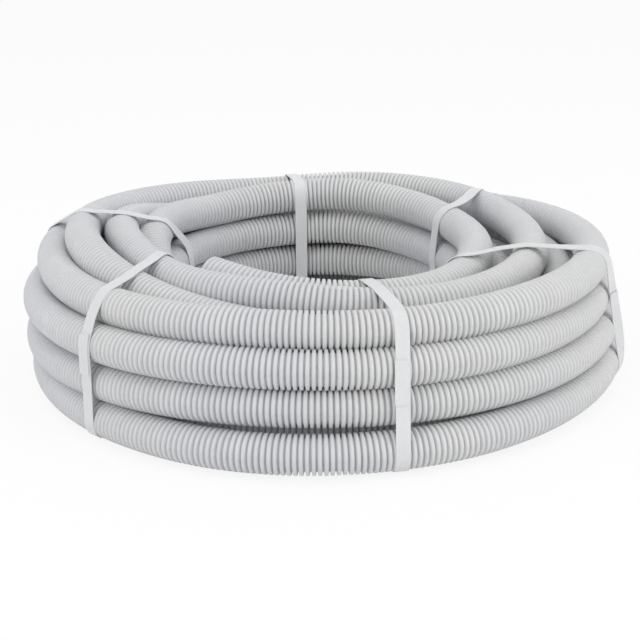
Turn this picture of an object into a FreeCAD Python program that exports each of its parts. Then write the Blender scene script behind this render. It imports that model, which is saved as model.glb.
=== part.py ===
import FreeCAD, Part
import math
import os

os.makedirs("parts", exist_ok=True)

Vector = FreeCAD.Vector

# Coil of corrugated conduit, tied with flat straps, lying on its side face.
# Millimetres, Z up, floor at z = 0, coil axis on Z.

# The conduit's own section
CONDUIT_OD = 25.0
CONDUIT_ID = 19.0
WALL = 0.6
RIB_PITCH = 3.6
RIB_CREST_SHARE = 0.5
RIB_FLANK_SHARE = 0.15

# How the turns lie in the coil
EYE_RADIUS = 98.5
TURN_PRESS = 1.5
INNER_ROW_GAP = 2.6
OUTER_ROW_PRESS = 0.3
OUTER_LAYER_STEP = 22.2
ROWS_HIGH = 4
BELLY_LOW = 7.0
BELLY_MID = 8.0
BELLY_HIGH = 6.0
GROOVE_DEPTH_ANGLE = 14.0

# Straps
STRAP_THICK = 0.8
STRAP_WIDTH = 9.0
STRAP_EASE = 0.15
WELD_LAP = 24.0
WELD_HEIGHT = 56.0
STRAP_AZIMUTHS = {
    "strap_front": 283.0,
    "strap_left_front": 226.0,
    "strap_left": 175.0,
    "strap_back": 99.0,
    "strap_right_back": 28.0,
    "strap_right": 338.0,
}

# Cut ends of the conduit
END_RIBS = 6
INNER_END_AZIMUTH = 231.5
OUTER_END_AZIMUTH = 44.0
OUTER_END_GAP = 14.0
POCKET_CLEARANCE = 0.4

# The turn that dips under the inner end
DIP_START_AZIMUTH = 180.0
DIP_END_AZIMUTH = 224.0
DIP_SINK = 3.0
DIP_EASE = 0.05

# Sizes that follow from the ones above
TUBE_R = CONDUIT_OD / 2.0
BORE_R = CONDUIT_ID / 2.0
ROOT_R = BORE_R + WALL
END_LENGTH = END_RIBS * RIB_PITCH
CONTACT = CONDUIT_OD - TURN_PRESS
INNER_ROW_STEP = CONDUIT_OD + INNER_ROW_GAP
INNER_LAYER_STEP = math.sqrt(CONTACT ** 2 - (INNER_ROW_STEP / 2.0) ** 2)
LAYER_RADII = [
    EYE_RADIUS + TUBE_R,
    EYE_RADIUS + TUBE_R + INNER_LAYER_STEP,
    EYE_RADIUS + TUBE_R + INNER_LAYER_STEP * 2.0,
    EYE_RADIUS + TUBE_R + INNER_LAYER_STEP * 2.0 + OUTER_LAYER_STEP,
    EYE_RADIUS + TUBE_R + INNER_LAYER_STEP * 2.0 + OUTER_LAYER_STEP * 2.0,
]
BELLY = [BELLY_LOW, BELLY_MID, BELLY_HIGH, 0.0]
BOTTOM_TURN_Z = STRAP_THICK + TUBE_R
LAP_RISE = 2.0 * STRAP_THICK


def inner_rows(layer):
    """Centres (radius, height) of a full inner layer's turns, bottom first."""
    return [(LAYER_RADII[layer], BOTTOM_TURN_Z + INNER_ROW_STEP * row) for row in range(ROWS_HIGH)]


def outer_rows():
    """Centres of the outer layer's turns, bottom first, each resting on the one below."""
    rows = []
    height = BOTTOM_TURN_Z
    contact = CONDUIT_OD - OUTER_ROW_PRESS
    for row in range(ROWS_HIGH):
        if row > 0:
            offset = BELLY[row] - BELLY[row - 1]
            height += math.sqrt(contact ** 2 - offset ** 2)
        rows.append((LAYER_RADII[4] + BELLY[row], height))
    return rows


FIRST_LAYER = inner_rows(0)
MIDDLE_LAYER = inner_rows(2)
OUTER_LAYER = outer_rows()
LOW_NEST = BOTTOM_TURN_Z + INNER_ROW_STEP / 2.0
INNER_HIGH_NEST = FIRST_LAYER[-1][1] - INNER_ROW_STEP / 2.0
OUTER_LOW_NEST = BOTTOM_TURN_Z + CONTACT / 2.0
OUTER_HIGH_NEST = OUTER_LAYER[-1][1] - CONTACT / 2.0


def outline_turns():
    """Centres of the turns that show, counter-clockwise from the inner bottom one."""
    bottom = [
        FIRST_LAYER[0],
        (LAYER_RADII[1], LOW_NEST),
        MIDDLE_LAYER[0],
        (LAYER_RADII[3], OUTER_LOW_NEST),
        OUTER_LAYER[0],
    ]
    top = [
        (LAYER_RADII[3], OUTER_HIGH_NEST),
        MIDDLE_LAYER[-1],
        (LAYER_RADII[1], INNER_HIGH_NEST),
        FIRST_LAYER[-1],
    ]
    return bottom + OUTER_LAYER[1:] + top + list(reversed(FIRST_LAYER[1:-1]))


def groove(a, b):
    """End of turn a's arc and start of turn b's arc where the outline passes from a to b."""
    dx = b[0] - a[0]
    dz = b[1] - a[1]
    span = math.hypot(dx, dz)
    along = (dx / span, dz / span)
    outward = (dz / span, -dx / span)
    if span < 2.0 * TUBE_R:
        half = span / 2.0
    else:
        half = TUBE_R * math.cos(math.radians(GROOVE_DEPTH_ANGLE))
    depth = math.sqrt(TUBE_R ** 2 - half ** 2)
    first = Vector(a[0] + along[0] * half + outward[0] * depth, 0, a[1] + along[1] * half + outward[1] * depth)
    last = Vector(b[0] - along[0] * half + outward[0] * depth, 0, b[1] - along[1] * half + outward[1] * depth)
    return first, last


def arc_about(centre, start, end):
    """Counter-clockwise arc of one turn's circle from start to end."""
    low = math.atan2(start.z - centre[1], start.x - centre[0])
    high = math.atan2(end.z - centre[1], end.x - centre[0])
    while high < low:
        high += 2.0 * math.pi
    mid = (low + high) / 2.0
    crown = Vector(centre[0] + TUBE_R * math.cos(mid), 0, centre[1] + TUBE_R * math.sin(mid))
    return Part.Arc(start, crown, end).toShape()


def coil_body():
    """The packed turns as one turned solid with its open eye."""
    turns = outline_turns()
    edges = []
    for index, centre in enumerate(turns):
        before = turns[index - 1]
        after = turns[(index + 1) % len(turns)]
        start = groove(before, centre)[1]
        end, next_start = groove(centre, after)
        edges.append(arc_about(centre, start, end))
        if end.distanceToPoint(next_start) > 1e-6:
            edges.append(Part.makeLine(end, next_start))
    face = Part.Face(Part.Wire(edges))
    return face.revolve(Vector(0, 0, 0), Vector(0, 0, 1), 360)


def rib_outline(crest, root, shift):
    """Wavy wall line of the end piece: one crest per pitch, cut off in a groove."""
    flank = RIB_PITCH * RIB_FLANK_SHARE
    top = RIB_PITCH * RIB_CREST_SHARE
    land = (RIB_PITCH - top - 2.0 * flank) / 2.0
    points = [(root, 0.0)]
    for rib in range(END_RIBS):
        start = rib * RIB_PITCH
        points.append((root, start + land + shift))
        points.append((crest, start + land + flank + shift))
        points.append((crest, start + land + flank + top - shift))
        points.append((root, start + RIB_PITCH - land - shift))
    points.append((root, END_LENGTH))
    return points


def ribbed_end():
    """Open ribbed end of the conduit along +Z, its mouth at the top."""
    outside = rib_outline(TUBE_R, ROOT_R, 0.0)
    inside = rib_outline(TUBE_R - WALL, BORE_R, WALL / 3.0)
    points = [Vector(r, 0, z) for r, z in outside]
    points += [Vector(r, 0, z) for r, z in reversed(inside)]
    points.append(points[0])
    wall = Part.Face(Part.makePolygon(points))
    foot = Part.makeCylinder(ROOT_R, 3.0 * WALL, Vector(0, 0, -2.0 * WALL))
    return wall.revolve(Vector(0, 0, 0), Vector(0, 0, 1), 360).fuse(foot)


def ring_point(radius, height, azimuth):
    """Point on a turn's centre line."""
    angle = math.radians(azimuth)
    return Vector(radius * math.cos(angle), radius * math.sin(angle), height)


def lay_along(shape, centre, azimuth, heading):
    """Turns +Z of a shape onto the coil's tangent, its foot on the turn at that azimuth."""
    placed = shape.copy()
    placed.rotate(Vector(0, 0, 0), Vector(1, 0, 0), -90.0 * heading)
    placed.rotate(Vector(0, 0, 0), Vector(0, 0, 1), azimuth)
    placed.translate(ring_point(centre[0], centre[1], azimuth))
    return placed


def open_end(body, centre, mouth_azimuth, heading, gap):
    """Opens a pocket in the turns and sets the ribbed open end in it."""
    foot = mouth_azimuth - heading * math.degrees(math.atan2(END_LENGTH, centre[0]))
    pocket = Part.makeCylinder(TUBE_R + POCKET_CLEARANCE, END_LENGTH + gap)
    body = body.cut(lay_along(pocket, centre, foot, heading))
    return body.fuse(lay_along(ribbed_end(), centre, foot, heading))


def turn_sector(centre, radius, start_azimuth, end_azimuth):
    """Piece of one turn as a ring sector of the given section radius."""
    disc = Part.makeCircle(radius, Vector(centre[0], 0, centre[1]), Vector(0, 1, 0))
    sector = Part.Face(Part.Wire(disc)).revolve(
        Vector(0, 0, 0), Vector(0, 0, 1), end_azimuth - start_azimuth
    )
    sector.rotate(Vector(0, 0, 0), Vector(0, 0, 1), start_azimuth)
    return sector


def dipping_turn(high, low):
    """Conduit that leaves the top turn and sinks between the rows into the turn below."""
    steps = 10
    lead = math.degrees(1.0 / high[0])
    points = [ring_point(high[0], high[1], DIP_START_AZIMUTH - lead)]
    for step in range(steps + 1):
        share = step / steps
        ease = share * share * (3.0 - 2.0 * share)
        azimuth = DIP_START_AZIMUTH + (DIP_END_AZIMUTH - DIP_START_AZIMUTH) * share
        sink = (high[1] - low[1]) * ease + DIP_SINK * share ** 4
        points.append(ring_point(high[0], high[1] - sink, azimuth))
    path = Part.BSplineCurve()
    path.interpolate(points)
    start = points[0]
    tangent = path.tangent(path.FirstParameter)[0]
    ring = Part.makeCircle(TUBE_R - DIP_EASE, start, tangent)
    return Part.Wire(path.toShape()).makePipeShell([Part.Wire(ring)], True, False)


def sink_under_end(body):
    """Takes the top inner turn away before the inner end and lets it dip into the next row."""
    high = FIRST_LAYER[-1]
    low = FIRST_LAYER[-2]
    gone = turn_sector(high, TUBE_R + POCKET_CLEARANCE, DIP_START_AZIMUTH, INNER_END_AZIMUTH)
    return body.cut(gone).fuse(dipping_turn(high, low))


def section_hull(centres):
    """Corners of the convex outline round the turns' centres, counter-clockwise."""
    points = sorted(set(centres))

    def half(chain):
        out = []
        for point in chain:
            while len(out) > 1:
                ax, az = out[-1][0] - out[-2][0], out[-1][1] - out[-2][1]
                bx, bz = point[0] - out[-1][0], point[1] - out[-1][1]
                if ax * bz - az * bx > 1e-6:
                    break
                out.pop()
            out.append(point)
        return out[:-1]

    return half(points) + half(reversed(points))


def band_face(centres, grow):
    """Outline pulled taut round the turns' circles, grown outwards by one distance."""
    reach = TUBE_R + grow
    corners = section_hull(centres)
    edges = []
    sides = []
    for index, corner in enumerate(corners):
        following = corners[(index + 1) % len(corners)]
        dx, dz = following[0] - corner[0], following[1] - corner[1]
        span = math.hypot(dx, dz)
        sides.append((dz / span, -dx / span))
    for index, corner in enumerate(corners):
        before, after = sides[index - 1], sides[index]
        blend = Vector(before[0] + after[0], 0, before[1] + after[1]).normalize()
        centre = Vector(corner[0], 0, corner[1])
        start = centre + Vector(before[0], 0, before[1]) * reach
        end = centre + Vector(after[0], 0, after[1]) * reach
        edges.append(Part.Arc(start, centre + blend * reach, end).toShape())
        following = corners[(index + 1) % len(corners)]
        landing = Vector(following[0], 0, following[1]) + Vector(after[0], 0, after[1]) * reach
        edges.append(Part.makeLine(end, landing))
    return Part.Face(Part.Wire(edges))


def strap(azimuth):
    """One closed flat strap round the section, with its welded lap on the outer face."""
    centres = [
        (r - STRAP_EASE if r < LAYER_RADII[1] else r, z) for r, z in outline_turns()
    ]
    outer = band_face(centres, STRAP_THICK)
    inner = band_face(centres, 0.0)
    band = outer.cut(inner).extrude(Vector(0, STRAP_WIDTH, 0))
    reach = max(r for r, z in centres) + TUBE_R + LAP_RISE - LAYER_RADII[3]
    zone = Part.makeBox(reach, STRAP_WIDTH, WELD_LAP)
    zone.translate(Vector(LAYER_RADII[3], 0, WELD_HEIGHT - WELD_LAP / 2.0))
    doubled = band_face(centres, LAP_RISE).cut(band_face(centres, 0.5 * STRAP_THICK))
    lap = doubled.extrude(Vector(0, STRAP_WIDTH, 0)).common(zone)
    band = band.fuse(lap).removeSplitter()
    band.translate(Vector(0, -STRAP_WIDTH / 2.0, 0))
    band.rotate(Vector(0, 0, 0), Vector(0, 0, 1), azimuth)
    return band


def conduit():
    """The whole conduit: packed turns with the inner and the outer open end."""
    body = sink_under_end(coil_body())
    body = open_end(body, FIRST_LAYER[-1], INNER_END_AZIMUTH, -1, 0.0)
    body = open_end(body, OUTER_LAYER[0], OUTER_END_AZIMUTH, 1, OUTER_END_GAP)
    return body.removeSplitter()


def only_solid(shape):
    """The single solid in a shape."""
    if len(shape.Solids) != 1:
        raise ValueError("expected one solid, found %d" % len(shape.Solids))
    return shape.Solids[0]


def main():
    """Writes one STEP file for each separate piece."""
    only_solid(conduit()).exportStep("parts/conduit.step")
    for name, azimuth in STRAP_AZIMUTHS.items():
        only_solid(strap(azimuth)).exportStep("parts/" + name + ".step")


main()
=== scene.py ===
"""Looks of the strapped coil of corrugated conduit: ribbed pipe, open cut ends, straps and studio."""

import logging
import math
from dataclasses import dataclass, field
from enum import Enum

import bmesh
import bpy
import numpy as np
from mathutils import Matrix, Vector

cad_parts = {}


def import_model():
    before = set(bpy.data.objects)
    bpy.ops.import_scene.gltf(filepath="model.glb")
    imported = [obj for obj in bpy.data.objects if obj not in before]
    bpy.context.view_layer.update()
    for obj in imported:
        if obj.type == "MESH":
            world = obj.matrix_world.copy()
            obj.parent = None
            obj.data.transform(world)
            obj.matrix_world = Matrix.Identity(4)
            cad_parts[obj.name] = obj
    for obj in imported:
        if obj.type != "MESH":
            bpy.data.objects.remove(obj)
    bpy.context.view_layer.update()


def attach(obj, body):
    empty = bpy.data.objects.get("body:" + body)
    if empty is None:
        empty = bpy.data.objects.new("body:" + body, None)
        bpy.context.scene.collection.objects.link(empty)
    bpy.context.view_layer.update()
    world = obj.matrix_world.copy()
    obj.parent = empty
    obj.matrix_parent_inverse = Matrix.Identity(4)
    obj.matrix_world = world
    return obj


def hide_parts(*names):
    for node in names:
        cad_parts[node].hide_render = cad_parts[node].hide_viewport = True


LOG = logging.getLogger("conduit_coil")

MM = 0.001
CONDUIT_OD = 25.0 * MM
CONDUIT_ID = 19.0 * MM
CONDUIT_WALL = 0.6 * MM
RIB_PITCH = 3.6 * MM
TUBE_R = CONDUIT_OD / 2.0
STRAP_THICK = 0.8 * MM
STRAP_WIDTH = 9.0 * MM
FLOOR_REST = TUBE_R + STRAP_THICK
NEAR_ZERO = 1e-9


class Detail(Enum):
    """How finely a stretch of conduit is meshed, in sides round the pipe."""

    SEEN = 28
    UNDERNEATH = 18
    BURIED = 12


@dataclass(frozen=True)
class Place:
    """A ring inside the coil that a hidden turn lies in.

    Args:
        name: what the turn is called.
        radius: mean radius of the ring, in millimetres.
        height: mean height of its centre line, in millimetres.
        hold: how strongly the turn keeps to it against its neighbours, 0 to 1.
    """

    name: str
    radius: float
    height: float
    hold: float


@dataclass(frozen=True)
class Move:
    """Where the conduit leaves one hidden ring for the next.

    Args:
        turn: number of whole turns passed since the route's start.
        start: where the move starts, in degrees past the start's azimuth.
        end: where it ends.
    """

    turn: int
    start: float
    end: float


@dataclass(frozen=True)
class Lay:
    """A part of the route that shows, as spots at even steps round the coil.

    Args:
        first_travel: degrees travelled at the first spot.
        spots: radius and height of the centre line at each spot, in millimetres.
        step: degrees from one spot to the next.
    """

    first_travel: float
    spots: tuple[tuple[float, float], ...]
    step: float = 30.0

    def reaches(self, travel: float) -> bool:
        """Whether this part of the route holds a travel."""
        return self.first_travel <= travel <= self.first_travel + self.step * (len(self.spots) - 1)

    def at(self, travel: float) -> np.ndarray:
        """Smoothly joined radius and height.

        Args:
            travel: degrees past the route's start.

        Returns:
            Radius and height in metres.
        """
        share = (travel - self.first_travel) / self.step
        index = min(int(share), len(self.spots) - 2)
        share -= index
        last = len(self.spots) - 1
        picks = (min(max(index + hop, 0), last) for hop in (-1, 0, 1, 2))
        before, here, there, after = (np.array(self.spots[pick]) for pick in picks)
        leave = (there - before) / 2.0
        arrive = (after - here) / 2.0
        square = share * share
        cube = square * share
        spot = (2 * cube - 3 * square + 1) * here + (3 * square - 2 * cube) * there
        spot = spot + (cube - 2 * square + share) * leave + (cube - square) * arrive
        return spot * MM


# The inner top turn from the cut end, which dips under itself, and the turn below it
INNER_LAY = Lay(
    0.0,
    (
        (116, 92.5), (118, 85.3), (120.5, 80.3), (119.5, 80.2), (114, 87), (109, 90),
        (107, 96), (108, 100.5), (110.5, 98), (114.5, 94.5), (121, 96.5), (118, 80),
        (112.5, 63.5), (111, 62), (109.5, 61), (108, 61.5), (106.5, 63), (105.5, 64.5),
        (106.5, 68), (109, 72.5), (110, 71), (111, 70), (112.5, 69.5), (113, 62),
        (112, 44),
    ),
)

# From the second layer's high turn to the middle top turn, over to the outer layer and down its rows
OUTER_LAY = Lay(
    3630.0,
    (
        (135, 64.5), (135.5, 60), (135.5, 58), (134.5, 60), (133, 65), (132, 71), (131.5, 76), (132, 80),
        (136, 85), (146, 99), (137, 98.5), (138, 90.5), (143, 90), (149.5, 83.5),
        (152, 82.5), (152.5, 86), (152.5, 91), (152.5, 96), (150, 97), (147, 93.5),
        (155, 98.5), (169.5, 101), (168, 101), (162.5, 86), (166, 76.5), (170, 71.5),
        (172, 68), (172, 67), (172, 69.5), (173, 72.5), (173.5, 74.5), (174, 77),
        (186, 82.5), (191.5, 88), (188, 85.5), (187.5, 84), (187.5, 84.3),
        (189, 83), (194, 86.2), (195, 86), (195.5, 84), (195.5, 78), (196.5, 64),
        (198, 59.5), (200, 60.5), (200.5, 62.5), (200.5, 63), (200.5, 63.3), (199.5, 64.2),
        (199.3, 62.8), (197.5, 62.8), (197, 62), (197.5, 60), (198, 57), (201, 43),
        (201.5, 36), (202, 36.5), (202, 36), (199.5, 33.5), (199, 37.6), (200, 40.2),
        (201.5, 39.8), (202, 39.3), (202.5, 39.5), (202.5, 37.5), (202, 34), (203, 20.5),
        (202.5, 13.3), (201, 13.5), (200, 13.3), (197, 13.3), (201.5, 13.5), (211, 14.1),
        (210.5, 14.4), (206.5, 14.9), (206, 15.5), (206, 14), (206, 13.5),
    ),
)

# Turns inside the coil, from the third inner one to where the second layer's high turn comes into sight
PLACES = (
    Place("inner third", 112.5, 44.5, 0.5),
    Place("inner bottom", 113.0, 13.5, 0.5),
    Place("second layer low", 134.0, 26.8, 0.02),
    Place("third layer bottom", 155.0, 13.5, 0.1),
    Place("fourth layer low", 177.5, 25.8, 0.02),
    Place("third layer second", 156.2, 39.0, 0.02),
    Place("fourth layer middle", 178.8, 50.0, 0.02),
    Place("third layer third", 153.8, 65.0, 0.02),
    Place("second layer middle", 133.8, 48.0, 0.02),
    Place("second layer high", 134.0, 68.0, 0.1),
)

MOVES = (
    Move(2, 319, 358),
    Move(3, 272, 312),
    Move(4, 232, 270),
    Move(5, 192, 230),
    Move(6, 152, 190),
    Move(7, 112, 150),
    Move(8, 72, 110),
    Move(9, 32, 70),
    Move(10, -6, 30),
)


def eased(share: float) -> float:
    """Smooth step of a share, 0 to 1."""
    share = min(max(share, 0.0), 1.0)
    return share * share * (3.0 - 2.0 * share)


def run_lengths(line: np.ndarray) -> np.ndarray:
    """Distance along a line of points from its first one.

    Args:
        line: one row for each point.

    Returns:
        One distance for each point.
    """
    hops = np.sqrt((np.diff(line, axis=0) ** 2).sum(1))
    return np.concatenate([[0.0], np.cumsum(hops)])


def read_off(line: np.ndarray, along: np.ndarray, goals: np.ndarray) -> np.ndarray:
    """Spots on a line of points.

    Args:
        line: one row for each point.
        along: a measure of each point that rises along the line.
        goals: the measures that are asked for.

    Returns:
        One row for each goal.
    """
    return np.stack([np.interp(goals, along, column) for column in line.T], -1)


def in_scene(name: str, data: bpy.types.ID) -> bpy.types.Object:
    """Makes an object of some data and links it to the scene."""
    made = bpy.data.objects.new(name, data)
    bpy.context.scene.collection.objects.link(made)
    return made


@dataclass
class Winding:
    """The conduit's way round the coil, turn by turn.

    Args:
        start_azimuth: where the route starts, in degrees.
        inner_cut: degrees past the start at which the inner end is cut off.
        end_travel: degrees past the start at which the outer end is cut off.
        steps: control points in each turn.
        contact: closest that two turns' centre lines lie where their ribs mesh, in metres.
        grip: how strongly a turn that shows keeps to its place in each small push.
        moving_hold: share of its rings' hold that a turn between two hidden rings has.
        shove: share of an overlap that each small push takes away.
        smoothing: share of a kink that each small push takes away.
        own_bend: share of the plan's own bends that is left in.
        spline_order: order of the route's spline.
        spline_steps: points read off it for each control point.
    """

    start_azimuth: float = 228.0
    inner_cut: float = 3.5
    end_travel: float = 16 * 360.0 + 176.0
    steps: int = 36
    contact: float = 23.3 * MM
    grip: float = 0.36
    moving_hold: float = 0.5
    shove: float = 0.35
    smoothing: float = 0.25
    own_bend: float = 0.6
    spline_order: int = 3
    spline_steps: int = 8
    travel: np.ndarray = field(init=False)
    sections: np.ndarray = field(init=False)
    line: np.ndarray = field(init=False)

    def planned(self, travel: float) -> tuple[np.ndarray, float]:
        """Where the turn would lie if no neighbour pushed it.

        Args:
            travel: degrees past the route's start.

        Returns:
            Radius and height in metres, and how strongly it holds there.
        """
        for lay in (INNER_LAY, OUTER_LAY):
            if lay.reaches(travel):
                return lay.at(travel), 1.0
        index = 0
        share = 0.0
        for number, move in enumerate(MOVES):
            begin = move.turn * 360.0 + move.start
            finish = move.turn * 360.0 + move.end
            if travel > finish:
                index = number + 1
            elif travel > begin:
                index = number
                share = (travel - begin) / (finish - begin)
        place = PLACES[index]
        spot = np.array([place.radius, place.height])
        hold = place.hold
        if share > 0.0:
            following = PLACES[index + 1]
            spot = spot + (np.array([following.radius, following.height]) - spot) * eased(share)
            hold = self.moving_hold * min(hold, following.hold)
        return spot * MM, hold

    def settle(self, rounds: int = 400) -> None:
        """Lets the planned turns push each other apart until they lie side by side.

        Args:
            rounds: how many small pushes are made.
        """
        self.travel = np.arange(0.0, self.end_travel + 360.0 / self.steps, 360.0 / self.steps)
        self.travel[-1] = self.end_travel
        plan = [self.planned(float(value)) for value in self.travel]
        target = np.array([spot for spot, _ in plan])
        hold = np.array([value for _, value in plan])[:, None] * self.grip
        count = len(target)
        turns = math.ceil(count / self.steps)
        padding = np.full((turns * self.steps - count, 2), np.nan)
        spots = target.copy()
        bend = np.zeros_like(target)
        bend[1:-1] = target[:-2] + target[2:] - 2.0 * target[1:-1]
        for _ in range(rounds):
            grid = np.concatenate([spots, padding]).reshape(turns, self.steps, 2)
            apart = grid[:, None] - grid[None]
            distance = np.sqrt((apart**2).sum(-1))
            close = (distance < self.contact) & (distance > NEAR_ZERO)
            short = np.where(close, self.contact - distance, 0.0)
            push = apart / np.maximum(distance, NEAR_ZERO)[..., None] * short[..., None]
            spots = spots + np.nan_to_num(push).sum(1).reshape(-1, 2)[:count] * self.shove
            curl = np.zeros_like(spots)
            curl[1:-1] = spots[:-2] + spots[2:] - 2.0 * spots[1:-1]
            spots = spots + self.smoothing * (curl - self.own_bend * bend)
            spots = spots + hold * (target - spots)
            spots[:, 1] = np.maximum(spots[:, 1], FLOOR_REST)
        self.sections = spots

    def control_points(self) -> np.ndarray:
        """The route's control points, worked out turn by turn, in metres."""
        turn = np.radians(self.start_azimuth + self.travel)
        radius = self.sections[:, 0]
        return np.stack([radius * np.cos(turn), radius * np.sin(turn), self.sections[:, 1]], -1)

    def build(self) -> None:
        """Settles the turns and reads the smooth route off its own spline."""
        self.settle()
        points = self.control_points()
        curve = bpy.data.curves.new("route", "CURVE")
        curve.dimensions = "3D"
        spline = curve.splines.new("NURBS")
        spline.points.add(len(points) - 1)
        for point, spot in zip(spline.points, points):
            point.co = (*spot, 1.0)
        spline.order_u = self.spline_order
        spline.use_endpoint_u = True
        spline.resolution_u = self.spline_steps
        holder = bpy.data.objects.new("route", curve)
        mesh = bpy.data.meshes.new_from_object(holder)
        self.line = np.array([vertex.co[:] for vertex in mesh.vertices])
        bpy.data.objects.remove(holder)
        bpy.data.meshes.remove(mesh)
        bpy.data.curves.remove(curve)

    def azimuths(self) -> np.ndarray:
        """Unwrapped azimuth of each point of the line, in degrees."""
        raw = np.unwrap(np.arctan2(self.line[:, 1], self.line[:, 0]))
        return np.degrees(raw)

    def distance_at(self, travel: float) -> float:
        """Distance along the line at which it has travelled so many degrees."""
        turned = self.azimuths()
        return float(np.interp(travel, turned - turned[0], run_lengths(self.line)))

    def crossing(self, azimuth: float) -> np.ndarray:
        """Radius and height of every turn where it crosses an azimuth.

        Args:
            azimuth: degrees counter-clockwise from +X.

        Returns:
            One row for each turn, in metres.
        """
        turned = self.azimuths()
        opening = turned[0] + self.inner_cut
        first = math.ceil((opening - azimuth) / 360.0)
        last = math.floor((turned[-1] - azimuth) / 360.0)
        section = np.column_stack([np.hypot(self.line[:, 0], self.line[:, 1]), self.line[:, 2]])
        return read_off(section, turned, azimuth + 360.0 * np.arange(first, last + 1))


def feed(tree: bpy.types.NodeTree, slot: bpy.types.NodeSocket, value: object) -> None:
    """Links a socket to an input or sets the input's own value, and leaves it alone for None."""
    if isinstance(value, bpy.types.NodeSocket):
        tree.links.new(value, slot)
    elif value is not None:
        slot.default_value = value


def add_node(
    tree: bpy.types.NodeTree,
    kind: str,
    *entries: object,
    settings: dict[str, object] | None = None,
    **named: object,
) -> bpy.types.Node:
    """Adds a node and feeds its inputs.

    Args:
        tree: the node tree.
        kind: the node's type.
        entries: a socket or a value for each input in order, or None.
        settings: the node's own properties.
        named: a socket or a value for inputs by their names, with _ for spaces.

    Returns:
        The node.
    """
    node = tree.nodes.new(kind)
    for name, value in (settings or {}).items():
        setattr(node, name, value)
    for slot, value in zip(node.inputs, entries):
        feed(tree, slot, value)
    for name, value in named.items():
        feed(tree, node.inputs[name.replace("_", " ")], value)
    return node


def math_node(tree: bpy.types.NodeTree, operation: str, *entries: object) -> bpy.types.NodeSocket:
    """Adds a Math node.

    Args:
        tree: the node tree.
        operation: the Math node's operation.
        entries: a socket or a number for each input.

    Returns:
        The result socket.
    """
    return add_node(tree, "ShaderNodeMath", *entries, settings={"operation": operation}).outputs[0]


def span_node(
    tree: bpy.types.NodeTree,
    value: object,
    low: float,
    high: float,
    start: float = 0.0,
    end: float = 1.0,
) -> bpy.types.NodeSocket:
    """Adds a smooth Map Range node.

    Args:
        tree: the node tree.
        value: the socket to map.
        low: value that gives start.
        high: value that gives end.
        start: result at low.
        end: result at high.

    Returns:
        The result socket.
    """
    settings = {"interpolation_type": "SMOOTHSTEP"}
    return add_node(tree, "ShaderNodeMapRange", value, low, high, start, end, settings=settings).outputs[0]


@dataclass(frozen=True)
class GroupSocket:
    """A named socket of a node group.

    Args:
        name: the socket's name.
        kind: what it carries.
        value: its starting value, for an input.
    """

    name: str
    kind: str = "Float"
    value: object = None


def add_sockets(tree: bpy.types.NodeTree, side: str, sockets: tuple[GroupSocket, ...]) -> dict[str, str]:
    """Gives a node group its named sockets.

    Args:
        tree: the node group.
        side: INPUT or OUTPUT.
        sockets: the sockets in order.

    Returns:
        Each socket's identifier by its name.
    """
    identifiers = {}
    for wanted in sockets:
        kind = "NodeSocket" + wanted.kind
        item = tree.interface.new_socket(name=wanted.name, in_out=side, socket_type=kind)
        if wanted.value is not None:
            item.default_value = wanted.value
        identifiers[wanted.name] = item.identifier
    return identifiers


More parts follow.
